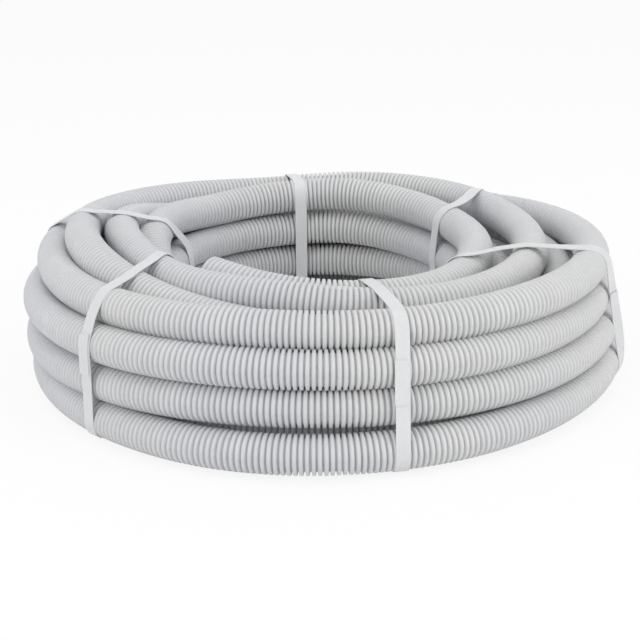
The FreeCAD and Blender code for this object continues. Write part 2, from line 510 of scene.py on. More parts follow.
@dataclass
class RibbedPipe:
    """Node tree that turns a centre line into ribbed conduit.

    Args:
        crest_radius: outside radius on a rib.
        valley_radius: outside radius between ribs.
        crest_share: share of the pitch that is crest.
        flank_share: share of the pitch that is one flank.
        rings: rings of points in each rib.
        lined_ribs: how many ribs deep a cut end is open.
    """

    crest_radius: float = TUBE_R
    valley_radius: float = CONDUIT_ID / 2.0 + CONDUIT_WALL
    crest_share: float = 0.54
    flank_share: float = 0.13
    rings: int = 4
    lined_ribs: int = 14
    tree: bpy.types.NodeTree = field(init=False)
    sockets: dict[str, str] = field(init=False)

    def ring_pick(self, entry: object, values: list[float]) -> bpy.types.NodeSocket:
        """Chooses one of four values by a ring's number in its rib.

        Args:
            entry: socket with the ring's number, 0 to 3.
            values: the four values.

        Returns:
            The chosen value's socket.
        """
        node = add_node(self.tree, "GeometryNodeIndexSwitch", settings={"data_type": "FLOAT"})
        while len(node.index_switch_items) < self.rings:
            node.index_switch_items.new()
        for slot, value in zip(node.inputs, (entry, *values)):
            feed(self.tree, slot, value)
        return node.outputs[0]

    def kept(self, geometry: object, name: str, value: object) -> bpy.types.NodeSocket:
        """Stores a value on the points under a name.

        Args:
            geometry: geometry socket.
            name: the attribute's name.
            value: the value's socket.

        Returns:
            The geometry socket that carries it.
        """
        return add_node(
            self.tree,
            "GeometryNodeStoreNamedAttribute",
            settings={"data_type": "FLOAT", "domain": "POINT"},
            Geometry=geometry,
            Name=name,
            Value=value,
        ).outputs[0]

    def shaped_line(
        self, entry: bpy.types.Node, index: object
    ) -> tuple[bpy.types.NodeSocket, bpy.types.NodeSocket]:
        """Part of the tree that spaces the rings of each rib along the centre line.

        Args:
            entry: the tree's input node.
            index: socket with each point's number.

        Returns:
            The line's socket and the socket with each ring's radius.
        """
        tree = self.tree
        asked = entry.outputs
        curve = add_node(tree, "GeometryNodeMeshToCurve", asked["Geometry"]).outputs[0]
        evened = add_node(
            tree,
            "GeometryNodeResampleCurve",
            settings={"mode": "COUNT"},
            Curve=curve,
            Count=asked["Ring Count"],
        ).outputs[0]
        upright = add_node(tree, "GeometryNodeSetCurveNormal", settings={"mode": "Z_UP"}, Curve=evened)
        ring = math_node(tree, "MODULO", index, float(self.rings))
        land = (1.0 - self.crest_share - 2.0 * self.flank_share) / 2.0
        wanted = [land, land + self.flank_share, 1.0 - land - self.flank_share, 1.0 - land]
        slide = self.ring_pick(ring, [share - number / self.rings for number, share in enumerate(wanted)])
        on_crest = self.ring_pick(ring, [0.0, 1.0, 1.0, 0.0])
        reach = math_node(tree, "MULTIPLY", slide, asked["Rib Pitch"])
        tangent = add_node(tree, "GeometryNodeInputTangent").outputs[0]
        offset = add_node(
            tree, "ShaderNodeVectorMath", settings={"operation": "SCALE"}, Vector=tangent, Scale=reach
        ).outputs[0]
        spaced = add_node(tree, "GeometryNodeSetPosition", Geometry=upright.outputs[0], Offset=offset)
        height = math_node(tree, "SUBTRACT", asked["Crest Radius"], asked["Valley Radius"])
        radius = math_node(tree, "MULTIPLY_ADD", on_crest, height, asked["Valley Radius"])
        return self.kept(spaced.outputs[0], "crest", on_crest), radius

    def build(self) -> None:
        """Makes the tree: resample, shape the rings of each rib, sweep, shade and set the material."""
        tree = bpy.data.node_groups.new("Ribbed Conduit", "GeometryNodeTree")
        self.tree = tree
        shape = GroupSocket("Geometry", "Geometry")
        inputs = (
            shape,
            GroupSocket("Ring Count", "Int", 9),
            GroupSocket("Sides", "Int", Detail.SEEN.value),
            GroupSocket("Rib Pitch", value=RIB_PITCH),
            GroupSocket("Crest Radius", value=self.crest_radius),
            GroupSocket("Valley Radius", value=self.valley_radius),
            GroupSocket("Material", "Material"),
        )
        self.sockets = add_sockets(tree, "INPUT", inputs)
        add_sockets(tree, "OUTPUT", (shape,))
        entry = tree.nodes.new("NodeGroupInput")
        sides = entry.outputs["Sides"]
        index = tree.nodes.new("GeometryNodeInputIndex").outputs[0]
        line, radius = self.shaped_line(entry, index)
        circle = add_node(tree, "GeometryNodeCurvePrimitiveCircle", Radius=1.0, Resolution=sides)
        turn = math_node(tree, "MULTIPLY", math_node(tree, "DIVIDE", index, sides), math.tau)
        section = self.kept(circle.outputs[0], "seam", math_node(tree, "SINE", turn))
        sweep = add_node(tree, "GeometryNodeCurveToMesh", Curve=line, Profile_Curve=section, Scale=radius)
        smooth = add_node(tree, "GeometryNodeSetShadeSmooth", sweep.outputs[0])
        real = add_node(tree, "GeometryNodeRealizeInstances", smooth.outputs[0])
        material = entry.outputs["Material"]
        dressed = add_node(tree, "GeometryNodeSetMaterial", Geometry=real.outputs[0], Material=material)
        add_node(tree, "NodeGroupOutput", dressed.outputs[0])

    def lining(
        self, work: bmesh.types.BMesh, rings: list[list[bmesh.types.BMVert]]
    ) -> list[bmesh.types.BMFace]:
        """Adds the inner wall of a cut end and the floor that closes it off.

        Args:
            work: the run's mesh.
            rings: the outer wall's rings from the cut inwards.

        Returns:
            The new faces, the floor last.
        """
        layers = [work.verts.layers.float[name] for name in ("crest", "seam")]
        sides = len(rings[0])
        rows = [rings[0]]
        for ring in rings:
            middle = sum((vert.co for vert in ring), Vector()) / sides
            row = []
            for vert in ring:
                arm = vert.co - middle
                inner = work.verts.new(middle + arm * (1.0 - CONDUIT_WALL / arm.length))
                for layer in layers:
                    inner[layer] = vert[layer]
                row.append(inner)
            rows.append(row)
        faces = []
        for near, far in zip(rows, rows[1:]):
            for side in range(sides):
                after = (side + 1) % sides
                faces.append(work.faces.new((near[side], far[side], far[after], near[after])))
        for rim in rows[:2]:
            for side in range(sides):
                work.edges.get((rim[side], rim[(side + 1) % sides])).smooth = False
        faces.append(work.faces.new(rows[-1]))
        return faces

    def close_end(self, mesh: bpy.types.Mesh, sides: int, last_ring: int, opened: bool) -> None:
        """Closes one end of a swept run, flat or as the open double wall of a cut.

        Args:
            mesh: the run's mesh, ring after ring.
            sides: points in each ring.
            last_ring: number of the ring at the run's far end, or 0 for its near end.
            opened: whether the end is a cut that shows its bore.
        """
        work = bmesh.new()
        work.from_mesh(mesh)
        work.verts.ensure_lookup_table()
        depth = self.lined_ribs * self.rings if opened else 0
        order = range(last_ring, last_ring - depth - 1, -1) if last_ring else range(depth + 1)
        rings = [[work.verts[ring * sides + side] for side in range(sides)] for ring in order]
        faces = self.lining(work, rings) if opened else [work.faces.new(rings[0])]
        for face in faces:
            face.smooth = opened
        for edge in faces[-1].edges:
            edge.smooth = False
        bmesh.ops.recalc_face_normals(work, faces=work.faces)
        work.to_mesh(mesh)
        work.free()

    def swept(
        self, name: str, path: np.ndarray, ribs: int, detail: Detail, material: bpy.types.Material
    ) -> bpy.types.Mesh:
        """Plain mesh of one stretch of conduit, open at both ends.

        Args:
            name: the mesh's name.
            path: centre line points in metres.
            ribs: how many ribs lie along it.
            detail: how finely it is meshed.
            material: the conduit's material.

        Returns:
            The mesh.
        """
        line = bpy.data.meshes.new(name + "_line")
        line.from_pydata([tuple(p) for p in path], [(i, i + 1) for i in range(len(path) - 1)], [])
        holder = in_scene(name + "_line", line)
        modifier = holder.modifiers.new("Ribs", "NODES")
        modifier.node_group = self.tree
        settings = {
            "Ring Count": ribs * self.rings + 1,
            "Sides": detail.value,
            "Rib Pitch": RIB_PITCH,
            "Crest Radius": self.crest_radius,
            "Valley Radius": self.valley_radius,
            "Material": material,
        }
        for label, value in settings.items():
            modifier[self.sockets[label]] = value
        graph = bpy.context.evaluated_depsgraph_get()
        mesh = bpy.data.meshes.new_from_object(holder.evaluated_get(graph), depsgraph=graph)
        mesh.name = name
        holder.modifiers.remove(modifier)
        bpy.data.objects.remove(holder)
        bpy.data.meshes.remove(line)
        return mesh


class EffectGroup:
    """A shader effect that finishes share, built once as a node group."""

    def __init__(self, name: str, inputs: tuple[GroupSocket, ...], outputs: tuple[str, ...]) -> None:
        """Makes the empty group with its sockets.

        Args:
            name: the group's name.
            inputs: its inputs.
            outputs: names of its outputs, one value each.
        """
        self.tree = bpy.data.node_groups.new(name, "ShaderNodeTree")
        add_sockets(self.tree, "INPUT", inputs)
        add_sockets(self.tree, "OUTPUT", tuple(GroupSocket(output) for output in outputs))
        self.asked = self.tree.nodes.new("NodeGroupInput").outputs

    def placed(self, tree: bpy.types.NodeTree, **values: object) -> bpy.types.Node:
        """Puts the group in a material.

        Args:
            tree: the material's node tree.
            values: a socket or a number for each input, by its name with _ for spaces.

        Returns:
            The group node.
        """
        return add_node(tree, "ShaderNodeGroup", settings={"node_tree": self.tree}, **values)


def noise_node(
    tree: bpy.types.NodeTree, vector: object, scale: object, detail: float, rough: float = 0.5
) -> bpy.types.NodeSocket:
    """Adds a Noise Texture and gives its value.

    Args:
        tree: the node tree.
        vector: where it is read.
        scale: socket or number of its scale.
        detail: how many octaves.
        rough: weight of the finer octaves.

    Returns:
        The value's socket, 0 to 1.
    """
    kind = "ShaderNodeTexNoise"
    return add_node(tree, kind, Vector=vector, Scale=scale, Detail=detail, Roughness=rough).outputs[0]


class CloudyTone(EffectGroup):
    """Slow drift and fine mottle of a moulded plastic's colour."""

    def __init__(self) -> None:
        """Builds the group."""
        inputs = (
            GroupSocket("Vector", "Vector"),
            GroupSocket("Drift Scale", value=9.0),
            GroupSocket("Mottle Scale", value=160.0),
        )
        super().__init__("Cloudy Tone", inputs, ("Drift", "Mottle"))
        tree = self.tree
        drift = noise_node(tree, self.asked["Vector"], self.asked["Drift Scale"], detail=2.0)
        mottle = noise_node(tree, self.asked["Vector"], self.asked["Mottle Scale"], detail=4.0, rough=0.6)
        clouds = [span_node(tree, noise, low=0.3, high=0.7) for noise in (drift, mottle)]
        add_node(tree, "NodeGroupOutput", *clouds)


class HandlingMarks(EffectGroup):
    """Rubbed patches and hair scratches that handling leaves."""

    def __init__(self) -> None:
        """Builds the group."""
        inputs = (
            GroupSocket("Vector", "Vector"),
            GroupSocket("Patch Scale", value=30.0),
            GroupSocket("Scratch Scale", value=240.0),
        )
        super().__init__("Handling Marks", inputs, ("Rubbed", "Scratches"))
        tree = self.tree
        patches = noise_node(tree, self.asked["Vector"], self.asked["Patch Scale"], detail=3.0, rough=0.65)
        rubbed = span_node(tree, patches, low=0.52, high=0.7)
        drawn_out = (1.0, 1.0, 0.12)
        settings = {"operation": "MULTIPLY"}
        stretch = add_node(tree, "ShaderNodeVectorMath", self.asked["Vector"], drawn_out, settings=settings)
        lines = noise_node(tree, stretch.outputs[0], self.asked["Scratch Scale"], detail=2.0, rough=0.7)
        scratches = math_node(tree, "MULTIPLY", span_node(tree, lines, low=0.66, high=0.72), rubbed)
        add_node(tree, "NodeGroupOutput", rubbed, scratches)


class StrapWaffle(EffectGroup):
    """Embossed diamond grid of plastic strapping, read from its own UV map in millimetres."""

    def __init__(self) -> None:
        """Builds the group."""
        inputs = (GroupSocket("Vector", "Vector"), GroupSocket("Diamonds", value=0.62))
        super().__init__("Strap Waffle", inputs, ("Height",))
        tree = self.tree
        split = add_node(tree, "ShaderNodeSeparateXYZ", self.asked["Vector"])
        waves = []
        for operation in ("ADD", "SUBTRACT"):
            slope = math_node(tree, operation, split.outputs[0], split.outputs[1])
            turned = math_node(tree, "MULTIPLY", slope, self.asked["Diamonds"])
            phase = math_node(tree, "MULTIPLY", turned, math.tau)
            waves.append(math_node(tree, "ABSOLUTE", math_node(tree, "SINE", phase)))
        grid = math_node(tree, "MINIMUM", *waves)
        add_node(tree, "NodeGroupOutput", span_node(tree, grid, low=0.0, high=0.5))


@dataclass(frozen=True)
class SharedEffects:
    """The node groups that the finishes share."""

    tone: CloudyTone = field(default_factory=CloudyTone)
    marks: HandlingMarks = field(default_factory=HandlingMarks)


Colour = tuple[float, float, float]


def blend_node(
    tree: bpy.types.NodeTree, share: object, first: object, second: object
) -> bpy.types.NodeSocket:
    """Adds a colour Mix node.

    Args:
        tree: the node tree.
        share: socket with the second colour's share.
        first: a colour or its socket.
        second: a colour or its socket.

    Returns:
        The mixed colour's socket.
    """
    node = add_node(tree, "ShaderNodeMix", share, settings={"data_type": "RGBA"})
    slots = [slot for slot in node.inputs if slot.type == "RGBA"]
    for slot, value in zip(slots, (first, second)):
        feed(tree, slot, (*value, 1.0) if isinstance(value, tuple) else value)
    return next(slot for slot in node.outputs if slot.type == "RGBA")


def bump_node(
    tree: bpy.types.NodeTree, height: object, depth: float, normal: object = None
) -> bpy.types.NodeSocket:
    """Adds a Bump node.

    Args:
        tree: the node tree.
        height: socket with the height, 0 to 1.
        depth: what a height of 1 measures, in metres.
        normal: normal that it builds on.

    Returns:
        The normal's socket.
    """
    kind = "ShaderNodeBump"
    return add_node(tree, kind, Strength=1.0, Distance=depth, Height=height, Normal=normal).outputs[0]


def new_material(name: str) -> tuple[bpy.types.Material, bpy.types.NodeTree, bpy.types.Node]:
    """Makes a material and gives it with its node tree and its Principled BSDF."""
    made = bpy.data.materials.new(name)
    made.use_nodes = True
    return made, made.node_tree, made.node_tree.nodes["Principled BSDF"]


def uneven_roughness(
    tree: bpy.types.NodeTree, tone: bpy.types.Node, marks: bpy.types.Node, middle: float, spread: float
) -> bpy.types.NodeSocket:
    """Roughness that varies with a finish's mottle and its rubbed patches.

    Args:
        tree: the material's node tree.
        tone: the cloudy tone's node.
        marks: the handling marks' node.
        middle: roughness where the mottle is half strong.
        spread: how much the mottle and the rubbed patches each change it.

    Returns:
        The roughness's socket.
    """
    rough = math_node(tree, "MULTIPLY_ADD", tone.outputs["Mottle"], spread, middle - spread / 2.0)
    return math_node(tree, "MULTIPLY_ADD", marks.outputs["Rubbed"], spread, rough)


@dataclass(frozen=True)
class ConduitFinish:
    """Pale grey corrugated plastic, rougher in its grooves, where dust and painted shade darken its colour.

    Args:
        cool: colour where the grey is coolest.
        warm: colour where it is warmest.
        rubbed: colour of the ribs' rubbed crests.
        groove: darker grey that the mottle mixes in, also painted into the grooves as dust and painted
            shade.
        mottled: most of the groove's colour that the mottle mixes in.
        worn: most of the rubbed colour on a crest.
        sunk: share of the darker grey in a groove, painted there as dust and painted shade.
        roughness: how dull it is.
        spread: how much the roughness varies.
        groove_dullness: how much rougher a groove is at the most.
        seam_reach: half width of the mould seam, as a share of the pipe's radius.
        seam_height: how far the seam stands up.
        grain_scale: fineness of the plastic's grain.
        fine_depth: depth of the grain and of the hair scratches.
        shine: strength of its reflections.
    """

    cool: Colour = (0.62, 0.628, 0.66)
    warm: Colour = (0.655, 0.658, 0.652)
    rubbed: Colour = (0.69, 0.695, 0.70)
    groove: Colour = (0.53, 0.535, 0.545)
    mottled: float = 0.16
    worn: float = 0.5
    sunk: float = 0.6
    roughness: float = 0.42
    spread: float = 0.10
    groove_dullness: float = 0.15
    seam_reach: float = 0.035
    seam_height: float = 0.12 * MM
    grain_scale: float = 2600.0
    fine_depth: float = 0.02 * MM
    shine: float = 0.45

    def material(self, effects: SharedEffects) -> bpy.types.Material:
        """Builds the material.

        Args:
            effects: the shared node groups.

        Returns:
            The material.
        """
        made, tree, shader = new_material("grey conduit plastic")
        place = tree.nodes.new("ShaderNodeTexCoord").outputs["Object"]
        tone = effects.tone.placed(tree, Vector=place, Drift_Scale=6.0, Mottle_Scale=220.0)
        marks = effects.marks.placed(tree, Vector=place, Patch_Scale=26.0, Scratch_Scale=260.0)
        crest, seam = (
            add_node(tree, "ShaderNodeAttribute", settings={"attribute_name": name}).outputs["Fac"]
            for name in ("crest", "seam")
        )
        body = blend_node(tree, tone.outputs["Drift"], self.cool, self.warm)
        dulled = math_node(tree, "MULTIPLY", tone.outputs["Mottle"], self.mottled)
        body = blend_node(tree, dulled, body, self.groove)
        on_crest = math_node(tree, "MULTIPLY", marks.outputs["Rubbed"], crest)
        body = blend_node(tree, math_node(tree, "MULTIPLY", on_crest, self.worn), body, self.rubbed)
        # Dust and painted shade: the grooves take up to a share sunk of the darker grey, and the same mask
        # makes them rougher.
        groove_dust_and_shade = span_node(tree, crest, low=0.0, high=0.9, start=self.sunk, end=0.0)
        rough = uneven_roughness(tree, tone, marks, self.roughness, self.spread)
        rough = math_node(tree, "MULTIPLY_ADD", groove_dust_and_shade, self.groove_dullness, rough)
        aside = math_node(tree, "ABSOLUTE", seam)
        ridge = span_node(tree, aside, low=0.0, high=self.seam_reach, start=1.0, end=0.0)
        normal = bump_node(tree, ridge, self.seam_height)
        grain = noise_node(tree, place, self.grain_scale, detail=2.0)
        normal = bump_node(tree, grain, self.fine_depth, normal)
        normal = bump_node(tree, marks.outputs["Scratches"], -self.fine_depth, normal)
        # Base colour with the dust and painted shade of the grooves mixed in.
        feed(tree, shader.inputs["Base Color"], blend_node(tree, groove_dust_and_shade, body, self.groove))
        feed(tree, shader.inputs["Roughness"], rough)
        feed(tree, shader.inputs["Normal"], normal)
        feed(tree, shader.inputs["Specular IOR Level"], self.shine)
        return made


@dataclass(frozen=True)
class StrapFinish:
    """White embossed strapping, a little milky.

    Args:
        clean: colour of the clean strap.
        handled: darker colour that the drift, the scratches and the spaces between the diamonds take.
        sunk: share of that darker colour between the diamonds, which makes the strap darker there.
        drifting: most of the handled colour that the tone's drift adds.
        scratched: share of the handled colour that a scratch adds.
        roughness: how dull it is.
        spread: how much the roughness varies.
        emboss_depth: how deep the diamonds are embossed.
        scratch_depth: depth of the hair scratches.
        milkiness: share of light that enters the plastic.
        milk_depth: how far that light spreads.
    """

    clean: Colour = (0.73, 0.735, 0.755)
    handled: Colour = (0.67, 0.675, 0.69)
    sunk: float = 0.25
    drifting: float = 0.45
    scratched: float = 0.3
    roughness: float = 0.34
    spread: float = 0.12
    emboss_depth: float = 0.10 * MM
    scratch_depth: float = 0.03 * MM
    milkiness: float = 0.12
    milk_depth: float = 2.0 * MM

    def material(self, effects: SharedEffects) -> bpy.types.Material:
        """Builds the material.

        Args:
            effects: the shared node groups.

        Returns:
            The material.
        """
        made, tree, shader = new_material("white strapping")
        places = tree.nodes.new("ShaderNodeTexCoord").outputs
        tone = effects.tone.placed(tree, Vector=places["Object"], Drift_Scale=22.0, Mottle_Scale=300.0)
        marks = effects.marks.placed(tree, Vector=places["Object"], Patch_Scale=60.0, Scratch_Scale=420.0)
        raised = StrapWaffle().placed(tree, Vector=places["UV"], Diamonds=0.32).outputs["Height"]
        # Darker between the diamonds, up to the share sunk.
        share = math_node(tree, "MULTIPLY_ADD", raised, -self.sunk, self.sunk)
        share = math_node(tree, "MULTIPLY_ADD", tone.outputs["Drift"], self.drifting, share)
        share = math_node(tree, "MULTIPLY_ADD", marks.outputs["Scratches"], self.scratched, share)
        normal = bump_node(tree, raised, self.emboss_depth)
        normal = bump_node(tree, marks.outputs["Scratches"], -self.scratch_depth, normal)
        rough = uneven_roughness(tree, tone, marks, self.roughness, self.spread)
        feed(tree, shader.inputs["Base Color"], blend_node(tree, share, self.clean, self.handled))
        feed(tree, shader.inputs["Roughness"], rough)
        feed(tree, shader.inputs["Normal"], normal)
        feed(tree, shader.inputs["Subsurface Weight"], self.milkiness)
        feed(tree, shader.inputs["Subsurface Scale"], self.milk_depth)
        feed(tree, shader.inputs["Subsurface Radius"], (1.0, 1.0, 1.0))
        return made

@dataclass(frozen=True)
class Stretch:
    """A run of conduit that is one mesh.

    Args:
        name: the piece's name.
        end_travel: degrees past the route's start at which the run ends.
        detail: how finely it is meshed.
    """

    name: str
    end_travel: float
    detail: Detail


@dataclass
class ConduitCoil:
    """The wound conduit as a few joined runs.

    Args:
        winding: the way that it runs.
        pipe: the tree that gives it its ribs.
        material: the conduit's material.
        gap: least distance from a run's end to the next point of its path.
    """

    winding: Winding
    pipe: RibbedPipe
    material: bpy.types.Material
    gap: float = 0.01 * MM

    def runs(self) -> list[Stretch]:
        """The runs in order from the inner cut end."""
        return [
            Stretch("conduit_inner_upper", 2 * 360.0, Detail.SEEN),
            Stretch("conduit_inner_lower", 3 * 360.0 + 290.0, Detail.SEEN),
            Stretch("conduit_base_turns", 6 * 360.0 + 170.0, Detail.UNDERNEATH),
            Stretch("conduit_core_turns", 10 * 360.0 + 10.0, Detail.BURIED),
            Stretch("conduit_middle_top", 12 * 360.0 + 100.0, Detail.SEEN),
            Stretch("conduit_outer_upper", 14 * 360.0 + 200.0, Detail.SEEN),
            Stretch("conduit_outer_lower", self.winding.end_travel, Detail.SEEN),
        ]

    def build(self) -> list[bpy.types.Object]:
        """Returns:
            The pieces.
        """
        along = run_lengths(self.winding.line)
        opening = self.winding.distance_at(self.winding.inner_cut)
        total = along[-1] - opening
        ribs_in_all = round(total / RIB_PITCH)
        pitch = total / ribs_in_all
        pieces = []
        first_rib = 0
        for run in self.runs():
            reach = self.winding.distance_at(run.end_travel) - opening
            last_rib = min(round(reach / pitch), ribs_in_all)
            begin = opening + first_rib * pitch
            finish = opening + last_rib * pitch
            inside = (along > begin + self.gap) & (along < finish - self.gap)
            ends = read_off(self.winding.line, along, np.array([begin, finish]))
            path = np.concatenate([ends[:1], self.winding.line[inside], ends[1:]])
            outermost = last_rib == ribs_in_all
            ribs = last_rib - first_rib
            mesh = self.pipe.swept(run.name, path, ribs, run.detail, self.material)
            far_ring = ribs * self.pipe.rings
            self.pipe.close_end(mesh, run.detail.value, 0, opened=first_rib == 0)
            self.pipe.close_end(mesh, run.detail.value, far_ring, opened=outermost)
            piece = in_scene(run.name, mesh)
            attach(piece, "root")
            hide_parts("conduit")
            triangles = sum(len(face.vertices) - 2 for face in mesh.polygons)
            LOG.info("%s: %.2f m, %d ribs, %d triangles", run.name, finish - begin, ribs, triangles)
            pieces.append(piece)
            first_rib = last_rib
        LOG.info("conduit in all %.2f m", total)
        return pieces


@dataclass(frozen=True)
class Slack:
    """Where a strap stands loose off the turns.

    Args:
        bearing: where round the coil's section, in degrees from straight outwards, upwards positive.
        reach: how far to each side it is loose, in degrees.
        stand_off: how far it stands off, in metres.
        twist: how far it turns about its own length there, in degrees.
    """

    bearing: float
    reach: float
    stand_off: float
    twist: float = 0.0

    def share(self, bearing: np.ndarray) -> np.ndarray:
        """How much of the looseness each bearing has, 0 to 1."""
        apart = (bearing - self.bearing + 180.0) % 360.0 - 180.0
        return np.exp(-((apart / self.reach) ** 2))


@dataclass
class Strap:
    """One flat strap pulled round the coil's section, its ends welded over each other on the outside.

    Args:
        node: the CAD node that it stands for.
        lean: pairs of a radius in millimetres and the azimuth at which the strap lies there.
        slack: where it is loose.
        lap_low: height of the overlap's lower end.
        lap_high: height of the overlap's upper end.
        lap_shift: how far the overlap lies to one side.
        lap_reach: bearing, up or down, past which there is no overlap, in degrees.
        flare_start: share of the overlap past which its upper end stands off.
        flare: how much further off that end stands, in thicknesses of the strap.
        chamfer: how far its long edges are broken.
        clearance: gap between the turns and the taut strap.
        ripple: half of how far it waves off the turns.
        ripple_waves: waves in one round of the section.
        ripple_shift: degrees that the waves move for each degree of the strap's azimuth.
        level_reach: height over the floor below which its twist fades out.
        section_middle: radius and height that its bearings are taken from.
        rim_step: degrees between the points of a turn's rim that it is pulled round.
        bearing_step: degrees between the bearings at which its way is worked out.
        outline_step: distance between the outline's points.
        point_step: distance between the middle line's points.
        lean_rounds: how often the lean is worked out again from the radius that it leads to.
        smooth_rounds: how often the middle line is smoothed.
    """

    node: str
    lean: tuple[tuple[float, float], ...]
    slack: tuple[Slack, ...] = ()
    lap_low: float = 42.0 * MM
    lap_high: float = 68.0 * MM
    lap_shift: float = 0.8 * MM
    lap_reach: float = 75.0
    flare_start: float = 0.7
    flare: float = 0.6
    chamfer: float = 0.15 * MM
    clearance: float = 0.1 * MM
    ripple: float = 0.15 * MM
    ripple_waves: float = 7.0
    ripple_shift: float = 5.0
    level_reach: float = 30.0 * MM
    section_middle: tuple[float, float] = (152.0 * MM, 50.0 * MM)
    rim_step: float = 6.0
    bearing_step: float = 1.5
    outline_step: float = 1.0 * MM
    point_step: float = 2.0 * MM
    lean_rounds: int = 3
    smooth_rounds: int = 5

    def azimuth(self, radius: float, beneath: bool = False) -> float:
        """Azimuth at which the strap crosses a radius.

        Args:
            radius: distance from the coil's axis, in metres.
            beneath: whether it is under the coil, where the strap runs straight.

        Returns:
            Degrees counter-clockwise from +X.
        """
        ways = (self.lean[0], self.lean[-1]) if beneath else self.lean
        radii, azimuths = zip(*ways)
        return float(np.interp(radius / MM, radii, azimuths))

    def outline(self, winding: Winding, azimuth: float) -> np.ndarray:
        """Taut outline round the turns' circles at one azimuth, at even steps.

        Args:
            winding: the coil.
            azimuth: degrees counter-clockwise from +X.

        Returns:
            Rows of bearing in degrees, radius and height in metres, by rising bearing.
        """
        centres = winding.crossing(azimuth)
        reach = TUBE_R + STRAP_THICK / 2.0 + self.clearance
        fan = np.radians(np.arange(0.0, 360.0, self.rim_step))
        rims = centres[:, None] + reach * np.stack([np.cos(fan), np.sin(fan)], -1)[None]
        points = sorted(map(tuple, rims.reshape(-1, 2)))
        hull = []
        for chain in (points, points[::-1]):
            side = []
            for point in chain:
                while len(side) > 1:
                    ax, az = side[-1][0] - side[-2][0], side[-1][1] - side[-2][1]
                    bx, bz = point[0] - side[-1][0], point[1] - side[-1][1]
                    if ax * bz - az * bx > 0:
                        break
                    side.pop()
                side.append(point)
            hull += side[:-1]
        ring = np.array(hull + [hull[0]])
        along = run_lengths(ring)
        ring = read_off(ring, along, np.arange(0.0, along[-1], self.outline_step))
        out, up = (ring - np.array(self.section_middle)).T
        bearing = np.degrees(np.arctan2(up, out))
        rows = np.column_stack([bearing, ring])
        return rows[np.argsort(bearing)]

    def middle_line(self, winding: Winding) -> tuple[np.ndarray, np.ndarray]:
        """The band's middle line with its lean.

        Args:
            winding: the coil.

        Returns:
            Points in metres at even steps, and each one's bearing in degrees.
        """
        outlines: dict[int, np.ndarray] = {}

        def spot(bearing: float, azimuth: float) -> np.ndarray:
            """Radius and height of the outline at a bearing, from the nearest half degree."""
            key = round(azimuth * 2.0)
            if key not in outlines:
                outlines[key] = self.outline(winding, key / 2.0)
            near, *ways = outlines[key].T
            return np.array([np.interp(bearing, near, way, period=360.0) for way in ways])

        bearings = np.arange(-180.0, 180.0, self.bearing_step)
        rows = []
        for bearing in bearings:
            azimuth = self.azimuth(self.section_middle[0])
            for _ in range(self.lean_rounds):
                radius, height = spot(bearing, azimuth)
                azimuth = self.azimuth(radius, beneath=height < FLOOR_REST)
            radius, height = spot(bearing, azimuth)
            rows.append((radius, azimuth, height))
        rows = np.array(rows)
        for _ in range(self.smooth_rounds):
            rows = (np.roll(rows, 1, axis=0) + 2.0 * rows + np.roll(rows, -1, axis=0)) / 4.0
        turn = np.radians(rows[:, 1])
        line = np.stack([rows[:, 0] * np.cos(turn), rows[:, 0] * np.sin(turn), rows[:, 2]], -1)
        closed = np.concatenate([line, line[:1]])
        along = run_lengths(closed)
        even = np.linspace(0.0, along[-1], round(along[-1] / self.point_step), endpoint=False)
        return read_off(closed, along, even), np.interp(even, along, np.append(bearings, 180.0))

    def directions(self, line: np.ndarray, bearing: np.ndarray) -> tuple[np.ndarray, np.ndarray]:
        """Outward and sideways direction at each point of a strap that lies flat.

        Args:
            line: the middle line's points.
            bearing: each point's bearing.

        Returns:
            Outward and sideways unit vectors.
        """
        ahead = np.roll(line, -1, axis=0) - np.roll(line, 1, axis=0)
        ahead /= np.linalg.norm(ahead, axis=1)[:, None]
        flat = np.column_stack([line[:, :2], np.zeros(len(line))])
        flat /= np.linalg.norm(flat, axis=1)[:, None]
        round_coil = np.column_stack([-flat[:, 1], flat[:, 0], np.zeros(len(line))])
        outward = np.cross(round_coil, ahead)
        outward /= np.linalg.norm(outward, axis=1)[:, None]
        away = flat * np.cos(np.radians(bearing))[:, None]
        away[:, 2] = np.sin(np.radians(bearing))
        outward *= np.where((outward * away).sum(1) < 0.0, -1.0, 1.0)[:, None]
        return outward, np.cross(outward, ahead)

    def band(
        self,
        work: bmesh.types.BMesh,
        spots: np.ndarray,
        outward: np.ndarray,
        sideways: np.ndarray,
        closed: bool,
    ) -> None:
        """Adds a flat band with broken edges, and its UV map in millimetres.

        Args:
            work: mesh that it is added to.
            spots: middle line points.
            outward: outward direction at each.
            sideways: sideways direction at each.
            closed: whether it joins up with itself.
        """
        half_wide = STRAP_WIDTH / 2.0
        half_thick = STRAP_THICK / 2.0
        cut = self.chamfer
        corners = [
            (-half_wide + cut, -half_thick), (half_wide - cut, -half_thick), (half_wide, cut - half_thick),
            (half_wide, half_thick - cut), (half_wide - cut, half_thick), (cut - half_wide, half_thick),
            (-half_wide, half_thick - cut), (-half_wide, cut - half_thick),
        ]
        shape = np.array(corners)[None, :, :, None]
        places = spots[:, None] + sideways[:, None] * shape[:, :, 0] + outward[:, None] * shape[:, :, 1]
        places[..., 2] -= np.minimum(places[..., 2].min(axis=1), 0.0)[:, None]
        rings = [[work.verts.new(place) for place in ring] for ring in places]
        layer = work.loops.layers.uv.verify()
        looped = np.concatenate([spots, spots[:1]]) if closed else spots
        along = run_lengths(looped) / MM
        for step in range(len(rings) if closed else len(rings) - 1):
            near, far = rings[step], rings[(step + 1) % len(rings)]
            for edge in range(len(corners)):
                other = (edge + 1) % len(corners)
                face = work.faces.new((near[edge], near[other], far[other], far[edge]))
                face.smooth = True
                marks = ((edge, step), (other, step), (other, step + 1), (edge, step + 1))
                for loop, (corner, row) in zip(face.loops, marks):
                    loop[layer].uv = (along[row], corners[corner][0] / MM)
                work.edges.get((near[edge], far[edge])).smooth = False
        if not closed:
            work.faces.new(rings[0])
            work.faces.new(rings[-1])

